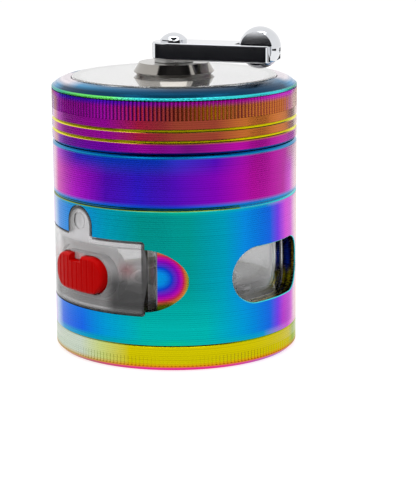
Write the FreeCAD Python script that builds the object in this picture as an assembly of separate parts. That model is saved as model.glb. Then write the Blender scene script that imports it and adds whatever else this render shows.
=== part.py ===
import FreeCAD, Part
import math
import os
from FreeCAD import Vector

# A hand-cranked grinder in four screwed layers, in millimetres. The origin is the middle of the
# underside, +Z is up and the drawer faces -Y. Angles round the body count from -Y towards +X.

# Heights of the four layers, as seen from outside
base_height = 6.2
collector_height = 34.4
chamber_height = 13.3
parting_gap = 0.3
lid_side_height = 13.85
lid_crown_rise = 1.8

# Walls and screwed joints
body_radius = 31.5
body_wall = 3.6
thread_clearance = 0.3
spigot_wall = 2.0
spigot_height = 5.0
spigot_end_gap = 0.4
edge_chamfer = 0.5
fine_chamfer = 0.25

# Base cup
base_floor = 1.8
base_foot_chamfer = 0.8
base_corner_radius = 2.0
base_grip_height = 2.4
base_grip_depth = 0.2

# Collector with its window sleeve and floor ring
window_angle = 104.0
window_half_width = 14.4
window_height = 14.3
window_sill = 15.5
sleeve_wall = 1.4
sleeve_clearance = 0.2
shoulder_drop = 4.6
floor_ring_thickness = 2.8
floor_ring_gap = 0.8
floor_ring_bore = 20.0
press_clearance = 0.05

# Drawer
drawer_half_width = 18.2
drawer_height = 15.3
drawer_wall = 1.6
drawer_floor = 1.4
drawer_front_wall = 2.6
drawer_clearance = 0.3
drawer_rear_clearance = 0.5
flange_thickness = 1.0
flange_lip_below = 1.1
flange_lip_above = 1.9
flange_corner_radius = 0.8
ear_half_width = 4.55
ear_height = 7.4
dimple_radius = 2.15
dimple_depth = 0.4
scoop_radius = 7.9
scoop_depth = 3.2
scoop_floor_radius = 9.0

# Mesh screen in the drawer floor
screen_radius = 14.4
screen_thickness = 0.3
screen_ledge = 1.1
screen_ring_height = 0.7
screen_centre_y = 3.0
mesh_opening = 1.5
mesh_bar = 0.6

# Red button in the drawer front
button_half_width = 9.2
button_height = 9.3
button_corner_radius = 4.2
button_proud = 1.7
button_depth = 4.4
button_edge_radius = 0.9
button_clearance = 0.3
button_travel = 1.5
button_grooves = 8
button_groove_pitch = 1.9
button_groove_radius = 0.5
button_groove_depth = 0.16
pocket_wall = 1.2
tab_half_width = 2.0
tab_drop = 1.6
spring_coil_radius = 2.4
spring_wire_radius = 0.22
spring_turns = 3
spring_length = 3.4

# Grinding chamber and rotor
chamber_floor = 2.5
chamber_wall = 4.5
lip_wall = 2.3
lip_height = 3.6
slip_ring_thickness = 0.9
tooth_length = 8.0
tooth_tip_gap = 1.2
tooth_half_thickness = 1.3
tooth_half_length = 2.1
tooth_tip_share = 0.8
tooth_ring_start = 7.0
tooth_counts = [5, 8, 11, 14, 17]
hole_radius = 2.0
hole_counts = [6, 12, 20]
rotor_thickness = 2.5
rotor_rim = 0.6
rotor_wall_gap = 1.7
rotor_boss_radius = 6.0
rotor_screw_head_radius = 4.4
rotor_screw_head_height = 2.0

# Lid, window and hub
lid_lip_clearance = 0.3
groove_depth = 0.45
groove_heights = [3.06, 5.77]
grip_bottom = 8.3
grip_height = 5.0
grip_ribs = 192
grip_depth = 0.32
crown_edge_radius = 0.35
crown_inner_radius = 26.45
crown_inner_chamfer = 0.25
window_thickness = 2.4
window_proud = 0.35
window_clearance = 0.15
gasket_thickness = 0.4
ledge_width = 2.1
ledge_thickness = 1.2
hub_foot_radius = 9.5
hub_radius = 10.4
hub_top_radius = 9.0
hub_shoulder_height = 0.8
hub_height = 3.15
hub_tail_radius = 5.0
hub_tail_tip = 0.6
nut_across_flats = 13.0
nut_height = 2.6
bush_wall = 1.2
bush_recess = 0.3

# Crank
shaft_radius = 3.0
running_clearance = 0.05
shaft_square = 4.2
shaft_top_gap = 0.4
rotor_play = 0.3
washer_radius = 5.0
washer_thickness = 0.75
washer_play = 0.1
arm_angle = 28.6
arm_half_width = 5.45
arm_length = 27.1
arm_thickness = 4.4
arm_corner_radius = 0.7
arm_edge_radius = 0.35
fork_clearance = 0.2
fork_end_gap = 0.5
fork_corner_radius = 0.8
crank_screw_radius = 3.4
crank_screw_rim = 0.5
crank_screw_height = 2.2
screw_shank_radius = 1.5
screw_shank_length = 5.0
recess_length = 3.2
recess_width = 0.8
recess_depth = 1.0

# Ball knob on its cross pin
ball_radius = 5.3
ball_half_thickness = 3.2
ball_from_end = 3.8
ball_below_top = 0.9
knob_pin_radius = 0.7

# Levels, from the foot up
z_base_top = base_height
z_collector_top = z_base_top + collector_height
z_chamber_top = z_collector_top + chamber_height
z_lid_bottom = z_chamber_top + parting_gap
z_lid_rim = z_lid_bottom + lid_side_height
z_crown = z_lid_rim + lid_crown_rise
z_window_top = z_crown + window_proud
z_window_bottom = z_window_top - window_thickness
z_ledge = z_window_bottom - gasket_thickness
z_hub_top = z_window_top + hub_height
z_washer = z_hub_top + washer_play
z_arm_bottom = z_washer + washer_thickness
z_arm_top = z_arm_bottom + arm_thickness
z_ball = z_arm_top - ball_below_top
z_nut_bottom = z_window_bottom - nut_height
z_tail_bottom = z_nut_bottom - hub_tail_tip
z_spigot_top = z_collector_top + spigot_height
z_chamber_ceiling = z_spigot_top + spigot_end_gap
z_chamber_floor = z_chamber_ceiling + chamber_floor
z_rotor_bottom = z_chamber_floor + tooth_length + tooth_tip_gap
z_rotor_top = z_rotor_bottom + rotor_thickness
z_lip_top = z_chamber_top + lip_height
z_slip_top = z_lip_top + slip_ring_thickness
z_base_spigot_top = z_base_top + spigot_height
z_floor_ring = z_base_spigot_top + floor_ring_gap
z_floor_ring_top = z_floor_ring + floor_ring_thickness
z_drawer = z_floor_ring_top + drawer_clearance
z_drawer_top = z_drawer + drawer_height
z_screen = z_drawer + drawer_floor - screen_thickness - screen_ring_height
z_shoulder = z_collector_top - shoulder_drop
z_flange_bottom = z_drawer - flange_lip_below
z_flange_top = z_drawer_top + flange_lip_above
z_ear_top = z_flange_top + ear_height
z_drawer_middle = z_drawer + drawer_height / 2

# Radii that fit each other
thread_radius = body_radius - body_wall
spigot_radius = thread_radius - thread_clearance
spigot_bore = spigot_radius - spigot_wall
sleeve_radius = thread_radius - sleeve_clearance
sleeve_bore = sleeve_radius - sleeve_wall
drawer_rear_radius = sleeve_bore - drawer_rear_clearance
flange_inner_radius = body_radius - flange_thickness
chamber_bore = body_radius - chamber_wall
lip_radius = chamber_bore + lip_wall
lid_lip_bore = lip_radius + lid_lip_clearance
window_radius = crown_inner_radius - window_clearance
ledge_bore = crown_inner_radius - ledge_width
tail_clear_radius = hub_tail_radius + window_clearance
bush_bore = shaft_radius + running_clearance
bush_radius = bush_bore + bush_wall
rotor_radius = chamber_bore - rotor_wall_gap
tooth_ring_end = rotor_radius - rotor_rim - tooth_half_thickness
tooth_ring_pitch = (tooth_ring_end - tooth_ring_start) / (len(tooth_counts) - 1)
tooth_rings = [tooth_ring_start + tooth_ring_pitch * i for i in range(len(tooth_counts))]
fork_half_width = ball_half_thickness + fork_clearance
ball_reach = arm_length - ball_from_end
button_y = -(body_radius + button_proud)
button_back_y = button_y + button_depth
pocket_back_y = button_back_y + spring_length
up = Vector(0, 0, 1)
inward = Vector(0, 1, 0)


def place(r, z):
    return Vector(r, 0, z)


def outline(*steps):
    """Face in the XZ plane. A step is a corner, or a pair: a point the arc passes and its end."""
    edges = []
    here = steps[0]
    closed_by_arc = isinstance(steps[-1][0], tuple) and steps[-1][1] == steps[0]
    for step in steps[1:] + (() if closed_by_arc else steps[:1]):
        if isinstance(step[0], tuple):
            through, there = step
            edges.append(Part.Arc(place(*here), place(*through), place(*there)).toShape())
        else:
            there = step
            edges.append(Part.LineSegment(place(*here), place(*there)).toShape())
        here = there
    return Part.Face(Part.Wire(edges))


def turned(*steps):
    return outline(*steps).revolve(Vector(0, 0, 0), up, 360)


def ring(inner, outer, bottom, top):
    return turned((inner, bottom), (outer, bottom), (outer, top), (inner, top))


def rod(radius, bottom, top):
    return Part.makeCylinder(radius, top - bottom, Vector(0, 0, bottom))


def block(x, y, z):
    return Part.makeBox(x[1] - x[0], y[1] - y[0], z[1] - z[0], Vector(x[0], y[0], z[0]))


def about_axis(shape, degrees):
    turned_copy = shape.copy()
    turned_copy.rotate(Vector(0, 0, 0), up, degrees)
    return turned_copy


def arc_point(centre_x, centre_z, radius, degrees):
    angle = math.radians(degrees)
    return (centre_x + radius * math.cos(angle), centre_z + radius * math.sin(angle))


def rounded_face(half_width, bottom, top, radius):
    """Upright rectangle with round corners, in the XZ plane."""
    right, low, high = half_width - radius, bottom + radius, top - radius
    return outline(
        (-right, bottom), (right, bottom),
        (arc_point(right, low, radius, -45), (half_width, low)), (half_width, high),
        (arc_point(right, high, radius, 45), (right, top)), (-right, top),
        (arc_point(-right, high, radius, 135), (-half_width, high)), (-half_width, low),
        (arc_point(-right, low, radius, 225), (-right, bottom)))


def stadium_face(half_width, bottom, top):
    """Upright slot with full round ends, in the XZ plane."""
    radius = (top - bottom) / 2
    right = half_width - radius
    return outline(
        (-right, bottom), (right, bottom),
        ((half_width, bottom + radius), (right, top)), (-right, top),
        ((-half_width, bottom + radius), (-right, bottom)))


def drawn(face, from_y, to_y):
    moved = face.copy()
    moved.translate(Vector(0, from_y, 0))
    return moved.extrude(inward * (to_y - from_y))


def front_face(margin):
    """Outline of the drawer flange with its ear, grown by a margin."""
    flange = rounded_face(drawer_half_width + margin, z_flange_bottom - margin,
                          z_flange_top + margin, flange_corner_radius)
    half = ear_half_width + margin
    round_centre = z_ear_top - ear_half_width
    ear = outline((-half, z_drawer_middle), (half, z_drawer_middle), (half, round_centre),
                  ((0, round_centre + half), (-half, round_centre)))
    return flange.fuse(ear).removeSplitter()


def button_face(margin):
    middle = z_drawer_middle
    half = button_height / 2 + margin
    return rounded_face(button_half_width + margin, middle - half, middle + half,
                        button_corner_radius + margin)


def base_cup():
    corner = base_corner_radius
    bore = spigot_bore
    bend = arc_point(bore - corner, base_floor + corner, corner, -45)
    cup = turned(
        (0, 0), (body_radius - base_foot_chamfer, 0), (body_radius, base_foot_chamfer),
        (body_radius, z_base_top - fine_chamfer), (body_radius - fine_chamfer, z_base_top),
        (spigot_radius, z_base_top), (spigot_radius, z_base_spigot_top - edge_chamfer),
        (spigot_radius - edge_chamfer, z_base_spigot_top), (bore, z_base_spigot_top),
        (bore, base_floor + corner), (bend, (bore - corner, base_floor)), (0, base_floor))
    return cup.cut(grip_cutter(base_foot_chamfer + fine_chamfer, base_grip_height, base_grip_depth))


def scoop_cutter():
    """Finger scoop beside the drawer: a round upright hollow, deepest at the drawer's side."""
    near_x = drawer_half_width
    far_x = near_x + scoop_radius
    near = Vector(near_x, scoop_depth - math.sqrt(body_radius ** 2 - near_x ** 2), 0)
    far = Vector(far_x, -math.sqrt(body_radius ** 2 - far_x ** 2), 0)
    chord = far - near
    outward = Vector(chord.y, -chord.x, 0).normalize()
    rise = math.sqrt(scoop_floor_radius ** 2 - (chord.Length / 2) ** 2)
    centre = near + chord * 0.5 + outward * rise
    reach = 2 * scoop_radius
    floor = Part.makeCylinder(scoop_floor_radius, reach,
                              Vector(centre.x, centre.y, z_drawer_middle - scoop_radius))
    eye = Part.makeCylinder(scoop_radius, body_radius, Vector(near_x, -body_radius - scoop_radius,
                            z_drawer_middle), inward)
    return floor.common(eye)


def is_window_rim(edge):
    """True for an edge that a window leaves on the outer wall."""
    on_wall = all(abs(math.hypot(point.x, point.y) - body_radius) < fine_chamfer / 10
                  for point in edge.discretize(5))
    low = window_sill - fine_chamfer
    high = window_sill + window_height + fine_chamfer
    return on_wall and low < edge.BoundBox.ZMin and edge.BoundBox.ZMax < high


def collector_shell():
    shell = turned(
        (thread_radius, z_base_top), (body_radius - fine_chamfer, z_base_top),
        (body_radius, z_base_top + fine_chamfer), (body_radius, z_collector_top - edge_chamfer),
        (body_radius - edge_chamfer, z_collector_top), (spigot_radius, z_collector_top),
        (spigot_radius, z_spigot_top - edge_chamfer), (spigot_radius - edge_chamfer, z_spigot_top),
        (spigot_bore, z_spigot_top), (spigot_bore, z_shoulder), (thread_radius, z_shoulder))
    window = drawn(stadium_face(window_half_width, window_sill, window_sill + window_height),
                   -2 * body_radius, 0)
    shell = shell.cut([about_axis(window, angle) for angle in (window_angle, 180, -window_angle)])
    rims = [edge for edge in shell.Edges if is_window_rim(edge)]
    shell = shell.makeChamfer(fine_chamfer, rims)
    scoop = scoop_cutter()
    side = drawer_half_width + drawer_clearance
    doorway = block((-side, side), (-2 * body_radius, -drawer_half_width),
                    (z_floor_ring_top, z_drawer_top + drawer_clearance))
    recess = drawn(front_face(drawer_clearance), -2 * body_radius, -drawer_half_width)
    recess = recess.cut(rod(flange_inner_radius - drawer_clearance, 0, z_collector_top))
    return shell.cut([doorway, recess, scoop, scoop.mirror(Vector(0, 0, 0), Vector(1, 0, 0))])


def window_sleeve():
    sleeve = ring(sleeve_bore, sleeve_radius, z_floor_ring_top, z_shoulder)
    side = drawer_half_width + drawer_clearance
    return sleeve.cut(block((-side, side), (-body_radius, 0),
                            (z_floor_ring_top, z_drawer_top + drawer_clearance)))


def floor_ring():
    outer = thread_radius - press_clearance
    return turned((floor_ring_bore, z_floor_ring), (outer, z_floor_ring), (outer, z_floor_ring_top),
                  (floor_ring_bore + edge_chamfer, z_floor_ring_top),
                  (floor_ring_bore, z_floor_ring_top - edge_chamfer))


def drawer_plan(front, rear, half_width, bottom, top):
    """Tray plan: a curved front, straight sides and a round rear, drawn up from bottom to top."""
    front_y = -math.sqrt(front ** 2 - half_width ** 2)
    rear_y = math.sqrt(rear ** 2 - half_width ** 2)
    corners = [Vector(-half_width, front_y, bottom), Vector(half_width, front_y, bottom),
               Vector(half_width, rear_y, bottom), Vector(-half_width, rear_y, bottom)]
    edges = [Part.Arc(corners[0], Vector(0, -front, bottom), corners[1]).toShape(),
             Part.LineSegment(corners[1], corners[2]).toShape(),
             Part.Arc(corners[2], Vector(0, rear, bottom), corners[3]).toShape(),
             Part.LineSegment(corners[3], corners[0]).toShape()]
    return Part.Face(Part.Wire(edges)).extrude(up * (top - bottom))


def drawer_tray():
    tray = drawer_plan(body_radius, drawer_rear_radius, drawer_half_width, z_drawer, z_drawer_top)
    tray = tray.cut(drawer_plan(body_radius - drawer_front_wall, drawer_rear_radius - drawer_wall,
                                drawer_half_width - drawer_wall, z_drawer + drawer_floor,
                                z_drawer_top))
    flange = drawn(front_face(0), -2 * body_radius, -drawer_half_width)
    flange = flange.common(ring(flange_inner_radius, body_radius, z_flange_bottom, z_ear_top))
    boss = drawn(button_face(button_clearance + pocket_wall), -flange_inner_radius,
                 pocket_back_y + pocket_wall)
    boss = boss.common(rod(body_radius - drawer_front_wall / 2, 0, z_ear_top))
    pocket = drawn(button_face(button_clearance), -2 * body_radius, pocket_back_y)
    dimple = Part.makeCylinder(dimple_radius, body_radius + dimple_depth,
                               Vector(0, -2 * body_radius, z_flange_top + ear_height / 2), inward)
    button_top = z_drawer_middle + button_height / 2 + button_clearance
    tab = block((-tab_half_width, tab_half_width), (-2 * body_radius, -drawer_half_width),
                (button_top - tab_drop, button_top + pocket_wall))
    tab = tab.common(ring(flange_inner_radius, body_radius, z_drawer, z_ear_top))
    tray = tray.fuse([flange, boss]).cut([pocket, dimple]).fuse(tab)
    screen_axis = Vector(0, screen_centre_y, z_drawer)
    seat_depth = screen_thickness + screen_ring_height
    seat = Part.makeCylinder(screen_radius + press_clearance, drawer_floor,
                             screen_axis + up * (drawer_floor - seat_depth))
    sieve = Part.makeCylinder(screen_radius - screen_ledge, drawer_floor, screen_axis)
    return tray.cut([seat, sieve]).removeSplitter()


def mesh_screen():
    """Square-holed sheet; only holes that lie wholly inside the retaining ring are cut."""
    pitch = mesh_opening + mesh_bar
    reach = screen_radius - screen_ledge
    count = int(reach / pitch)
    sheet = Part.makeCircle(screen_radius)
    holes = []
    for i in range(-count, count + 1):
        for j in range(-count, count + 1):
            x, y = i * pitch, j * pitch
            half = mesh_opening / 2
            if math.hypot(abs(x) + half, abs(y) + half) > reach - mesh_bar:
                continue
            corners = [Vector(x - half, y - half, 0), Vector(x + half, y - half, 0),
                       Vector(x + half, y + half, 0), Vector(x - half, y + half, 0)]
            holes.append(Part.makePolygon(corners + corners[:1]))
    face = Part.Face(Part.Wire([sheet])).cut(Part.makeCompound([Part.Face(hole) for hole in holes]))
    screen = face.Faces[0].extrude(up * screen_thickness)
    screen.translate(Vector(0, screen_centre_y, z_screen))
    return screen


def screen_ring():
    bottom = z_screen + screen_thickness
    shape = ring(screen_radius - screen_ledge, screen_radius, bottom, bottom + screen_ring_height)
    shape.translate(Vector(0, screen_centre_y, 0))
    return shape


def drawer_button():
    face_radius = body_radius + button_proud
    button = drawn(button_face(0), button_y - button_proud, button_back_y)
    button = button.common(rod(face_radius, 0, z_collector_top))
    front_edges = [edge for edge in button.Edges
                   if edge.BoundBox.YMax < button_back_y - button_edge_radius
                   and all(abs(math.hypot(v.X, v.Y) - face_radius) < 0.01 for v in edge.Vertexes)]
    button = button.makeFillet(button_edge_radius, front_edges)
    groove_path = face_radius + button_groove_radius - button_groove_depth
    grooves = []
    for i in range(button_grooves):
        angle = math.degrees((i - (button_grooves - 1) / 2) * button_groove_pitch / face_radius)
        groove = Part.makeCylinder(button_groove_radius, z_collector_top, Vector(0, -groove_path, 0))
        grooves.append(about_axis(groove, angle))
    notch_half = tab_half_width + button_clearance
    button_top = z_drawer_middle + button_height / 2
    notch = block((-notch_half, notch_half), (2 * button_y, button_travel - flange_inner_radius),
                  (button_top - tab_drop, button_top + tab_drop))
    notch = notch.cut(rod(flange_inner_radius - running_clearance, 0, z_collector_top))
    seat_depth = 2 * spring_wire_radius + running_clearance
    spring_seat = Part.makeCylinder(spring_coil_radius + spring_wire_radius + button_clearance,
                                    seat_depth,
                                    Vector(0, button_back_y - seat_depth, z_drawer_middle), inward)
    return button.cut(grooves + [notch, spring_seat])


def button_spring():
    """Compression spring along Y as one tube on quarter-turn arcs."""
    start = button_back_y - spring_wire_radius
    end = pocket_back_y - spring_wire_radius
    quarters = spring_turns * 4
    step = (end - start) / quarters

    def coil_point(quarter):
        angle = quarter * math.pi / 2
        return Vector(spring_coil_radius * math.cos(angle), start + step * quarter,
                      z_drawer_middle + spring_coil_radius * math.sin(angle))

    edges = [Part.Arc(coil_point(i), coil_point(i + 0.5), coil_point(i + 1)).toShape()
             for i in range(quarters)]
    path = Part.Wire(edges)
    tangent = edges[0].tangentAt(edges[0].FirstParameter)
    section = Part.Wire([Part.makeCircle(spring_wire_radius, coil_point(0), tangent)])
    shell = Part.BRepOffsetAPI.MakePipeShell(path)
    shell.add(section)
    shell.build()
    shell.makeSolid()
    samples = 8
    half_turn = 2 * samples
    points = path.discretize(quarters * samples + 1)
    apart = [here.distanceToPoint(there)
             for i, here in enumerate(points) for there in points[i + half_turn:]]
    print("spring gap to itself", round(min(apart) - 2 * spring_wire_radius, 3))
    return shell.shape()


def tooth(ring_radius, root_z, tip_z):
    """Diamond tooth that narrows from its root to its tip."""
    wires = []
    for level, share in ((root_z, 1.0), (tip_z, tooth_tip_share)):
        across = tooth_half_thickness * share
        along = tooth_half_length * share
        corners = [Vector(ring_radius - across, 0, level), Vector(ring_radius, -along, level),
                   Vector(ring_radius + across, 0, level), Vector(ring_radius, along, level)]
        wires.append(Part.makePolygon(corners + corners[:1]))
    return Part.makeLoft(wires, True, True)


def tooth_circle(index, root_z, tip_z):
    one = tooth(tooth_rings[index], root_z, tip_z)
    count = tooth_counts[index]
    return [about_axis(one, 360 * i / count) for i in range(count)]


def grind_chamber():
    body = turned(
        (0, z_chamber_ceiling), (thread_radius, z_chamber_ceiling), (thread_radius, z_collector_top),
        (body_radius - edge_chamfer, z_collector_top), (body_radius, z_collector_top + edge_chamfer),
        (body_radius, z_chamber_top - edge_chamfer), (body_radius - edge_chamfer, z_chamber_top),
        (lip_radius, z_chamber_top), (lip_radius, z_lip_top), (chamber_bore, z_lip_top),
        (chamber_bore, z_chamber_floor), (0, z_chamber_floor))
    teeth = tooth_circle(1, z_chamber_ceiling, z_chamber_floor + tooth_length)
    teeth += tooth_circle(3, z_chamber_ceiling, z_chamber_floor + tooth_length)
    tray_reach = drawer_half_width - drawer_wall - hole_radius
    holes = []
    for ring_index, count in zip((0, 2, 4), hole_counts):
        for i in range(count):
            angle = math.radians(360 * (i + 0.5) / count)
            x = tooth_rings[ring_index] * math.sin(angle)
            y = tooth_rings[ring_index] * math.cos(angle)
            if abs(x) < tray_reach:
                holes.append(Part.makeCylinder(hole_radius, chamber_floor,
                                               Vector(x, y, z_chamber_ceiling)))
    return body.cut(holes).fuse(teeth).removeSplitter()


def slip_ring():
    return ring(chamber_bore + press_clearance, lip_radius, z_lip_top, z_slip_top)


def grip_cutter(bottom, height, depth):
    """Everything outside a star of upright ribs, over the height of a grip band."""
    crest = body_radius + depth / 3
    valley = body_radius - depth
    points = []
    for i in range(2 * grip_ribs):
        angle = math.pi * i / grip_ribs
        radius = valley if i % 2 else crest
        points.append(Vector(radius * math.cos(angle), radius * math.sin(angle), bottom))
    star = Part.Face(Part.makePolygon(points + points[:1])).extrude(up * height)
    return rod(body_radius + height, bottom, bottom + height).cut(star)


def lid_ring():
    steps = [(lid_lip_bore, z_lid_bottom), (body_radius - edge_chamfer, z_lid_bottom),
             (body_radius, z_lid_bottom + edge_chamfer)]
    for height in groove_heights:
        level = z_lid_bottom + height
        steps += [(body_radius, level - groove_depth), (body_radius - groove_depth, level),
                  (body_radius, level + groove_depth)]
    edge = crown_edge_radius
    edge_middle = arc_point(body_radius - edge, z_lid_rim - edge, edge, 45)
    inner = crown_inner_radius
    inner_top = inner + crown_inner_chamfer
    crown_middle = ((body_radius + inner_top) / 2 + edge, (z_lid_rim + z_crown) / 2 + edge)
    steps += [(body_radius, z_lid_rim - edge), (edge_middle, (body_radius - edge, z_lid_rim)),
              (crown_middle, (inner_top, z_crown)), (inner, z_crown - crown_inner_chamfer),
              (inner, z_ledge), (ledge_bore, z_ledge), (ledge_bore, z_ledge - ledge_thickness),
              (chamber_bore, z_ledge - 2 * ledge_thickness), (chamber_bore, z_slip_top),
              (lid_lip_bore, z_slip_top)]
    return turned(*steps).cut(grip_cutter(z_lid_bottom + grip_bottom, grip_height, grip_depth))


def window_gasket():
    return ring(ledge_bore, window_radius, z_ledge, z_window_bottom)


def top_window():
    return turned((tail_clear_radius, z_window_bottom), (window_radius, z_window_bottom),
                  (window_radius, z_window_top - fine_chamfer),
                  (window_radius - fine_chamfer, z_window_top), (tail_clear_radius, z_window_top))


def hub_collar():
    return turned((bush_radius, z_tail_bottom), (hub_tail_radius, z_tail_bottom),
                  (hub_tail_radius, z_window_top), (hub_foot_radius, z_window_top),
                  (hub_radius, z_window_top + hub_shoulder_height), (hub_top_radius, z_hub_top),
                  (bush_radius, z_hub_top))


def hub_bush():
    return ring(bush_bore, bush_radius, z_tail_bottom, z_hub_top - bush_recess)


def hub_nut():
    corner = nut_across_flats / math.sqrt(3)
    points = [Vector(corner * math.cos(math.radians(60 * i)), corner * math.sin(math.radians(60 * i)),
                     z_nut_bottom) for i in range(6)]
    nut = Part.Face(Part.makePolygon(points + points[:1])).extrude(up * nut_height)
    return nut.cut(rod(hub_tail_radius + running_clearance, z_nut_bottom, z_window_bottom))


def square_bar(across, bottom, top):
    half = across / 2
    return block((-half, half), (-half, half), (bottom, top))


def drive_shaft():
    shaft = rod(shaft_radius, z_rotor_top, z_arm_bottom)
    shaft = shaft.fuse([square_bar(shaft_square, z_rotor_bottom + shaft_top_gap, z_rotor_top),
                        square_bar(shaft_square, z_arm_bottom, z_arm_top - shaft_top_gap)])
    bore = screw_shank_radius + running_clearance
    depth = screw_shank_length + running_clearance
    tapped = [rod(bore, z_arm_top - depth, z_arm_top), rod(bore, z_rotor_bottom, z_rotor_bottom + depth)]
    return about_axis(shaft.cut(tapped), arm_angle)


def rotor():
    boss_top = z_tail_bottom - rotor_play
    plate = turned((0, z_rotor_bottom), (rotor_radius, z_rotor_bottom), (rotor_radius, z_rotor_top),
                   (rotor_boss_radius, z_rotor_top), (rotor_boss_radius, boss_top), (0, boss_top))
    teeth = []
    for index in (0, 2, 4):
        teeth += tooth_circle(index, z_rotor_top, z_rotor_bottom - tooth_length)
    bores = [square_bar(shaft_square + 2 * running_clearance, z_rotor_bottom, boss_top),
             rod(shaft_radius + running_clearance, z_rotor_top, boss_top)]
    return about_axis(plate.fuse(teeth).cut(bores).removeSplitter(), arm_angle)


def cross_recess(depth_from, depth_to):
    half = recess_length / 2
    thin = recess_width / 2
    level = (depth_from, depth_to)
    return [block((-half, half), (-thin, thin), level), block((-thin, thin), (-half, half), level)]


def rotor_screw():
    head_bottom = z_rotor_bottom - rotor_screw_head_height
    radius = rotor_screw_head_radius
    screw = turned((0, head_bottom), (radius - edge_chamfer, head_bottom),
                   (radius, head_bottom + edge_chamfer), (radius, z_rotor_bottom),
                   (screw_shank_radius, z_rotor_bottom),
                   (screw_shank_radius, z_rotor_bottom + screw_shank_length),
                   (0, z_rotor_bottom + screw_shank_length))
    return about_axis(screw.cut(cross_recess(head_bottom, head_bottom + recess_depth)), arm_angle)


def crank_washer():
    return ring(shaft_radius + running_clearance, washer_radius, z_washer, z_arm_bottom)


def crank_arm():
    half = arm_half_width
    end = arm_length
    corner = arm_corner_radius
    bevel = corner * (1 - math.sqrt(0.5))
    bottom = z_arm_bottom

    def flat(x, y):
        return Vector(x, y, bottom)

    edges = [Part.Arc(flat(0, half), flat(-half, 0), flat(0, -half)).toShape(),
             Part.LineSegment(flat(0, -half), flat(end - corner, -half)).toShape(),
             Part.Arc(flat(end - corner, -half), flat(end - bevel, bevel - half),
                      flat(end, corner - half)).toShape(),
             Part.LineSegment(flat(end, corner - half), flat(end, half - corner)).toShape(),
             Part.Arc(flat(end, half - corner), flat(end - bevel, half - bevel),
                      flat(end - corner, half)).toShape(),
             Part.LineSegment(flat(end - corner, half), flat(0, half)).toShape()]
    arm = Part.Face(Part.Wire(edges)).extrude(up * arm_thickness)
    top_edges = [edge for edge in arm.Edges if abs(edge.BoundBox.ZMin - z_arm_top) < 0.01]
    bottom_edges = [edge for edge in arm.Edges if abs(edge.BoundBox.ZMax - bottom) < 0.01]
    arm = arm.makeFillet(arm_edge_radius, top_edges + bottom_edges)
    slot_start = ball_reach - ball_radius - fork_end_gap
    slot = block((slot_start, 2 * end), (-fork_half_width, fork_half_width),
                 (bottom - arm_thickness, z_arm_top + arm_thickness))
    slot_corners = [edge for edge in slot.Edges
                    if edge.BoundBox.XMax < slot_start + 0.01 and edge.BoundBox.ZLength > arm_thickness]
    slot = slot.makeFillet(fork_corner_radius, slot_corners)
    pin_hole = Part.makeCylinder(knob_pin_radius, 4 * half, Vector(ball_reach, -2 * half, z_ball), inward)
    hole = square_bar(shaft_square + 2 * running_clearance, bottom, z_arm_top)
    return about_axis(arm.cut([slot, pin_hole, hole]), arm_angle)


def crank_screw():
    rim = z_arm_top + crank_screw_rim
    top = z_arm_top + crank_screw_height
    cap = top - rim
    sphere = (crank_screw_radius ** 2 + cap ** 2) / (2 * cap)
    centre = top - sphere
    half_angle = math.degrees(math.asin(crank_screw_radius / sphere)) / 2
    shank_end = z_arm_top - screw_shank_length
    screw = turned((0, shank_end), (screw_shank_radius, shank_end), (screw_shank_radius, z_arm_top),
                   (crank_screw_radius, z_arm_top), (crank_screw_radius, rim),
                   (arc_point(0, centre, sphere, 90 - half_angle), (0, top)))
    return about_axis(screw, arm_angle)


def knob_pin():
    length = 2 * arm_half_width
    pin = Part.makeCylinder(knob_pin_radius, length, Vector(ball_reach, -arm_half_width, z_ball), inward)
    return about_axis(pin, arm_angle)


def ball_knob():
    ball = Part.makeSphere(ball_radius, Vector(ball_reach, 0, z_ball))
    slab = block((0, 2 * arm_length), (-ball_half_thickness, ball_half_thickness),
                 (z_ball - ball_radius, z_ball + ball_radius))
    bore = Part.makeCylinder(knob_pin_radius + running_clearance, 2 * ball_radius,
                             Vector(ball_reach, -ball_radius, z_ball), inward)
    return about_axis(ball.common(slab).cut(bore), arm_angle)


pieces = [base_cup, collector_shell, window_sleeve, floor_ring, drawer_tray, mesh_screen, screen_ring,
          drawer_button, button_spring, grind_chamber, slip_ring, lid_ring, window_gasket, top_window,
          hub_collar, hub_bush, hub_nut, drive_shaft, rotor, rotor_screw, crank_washer, crank_arm,
          crank_screw, knob_pin, ball_knob]

os.makedirs("parts", exist_ok=True)
for piece in pieces:
    shape = piece()
    print(piece.__name__, shape.isValid(), len(shape.Solids), round(shape.Volume, 1))
    shape.exportStep("parts/" + piece.__name__ + ".step")
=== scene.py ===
# %% [markdown]
# # A hand-crank herb grinder in rainbow-plated metal
# Four layers are screwed together here: a shallow base, a drawer body with windows, a chamber with
# teeth and a knurled lid. A crank with a ball knob turns the rotor under the lid. The solids come in
# as a fixed frame that already has its joints. They could be remodelled here, but the turned rings
# are right as they are, so this lesson dresses them: a camera, a studio and one finish for each metal
# and plastic.

# %% Load the frame
import math
from functools import partial

import bmesh
import bpy
from mathutils import Matrix, Vector


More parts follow.
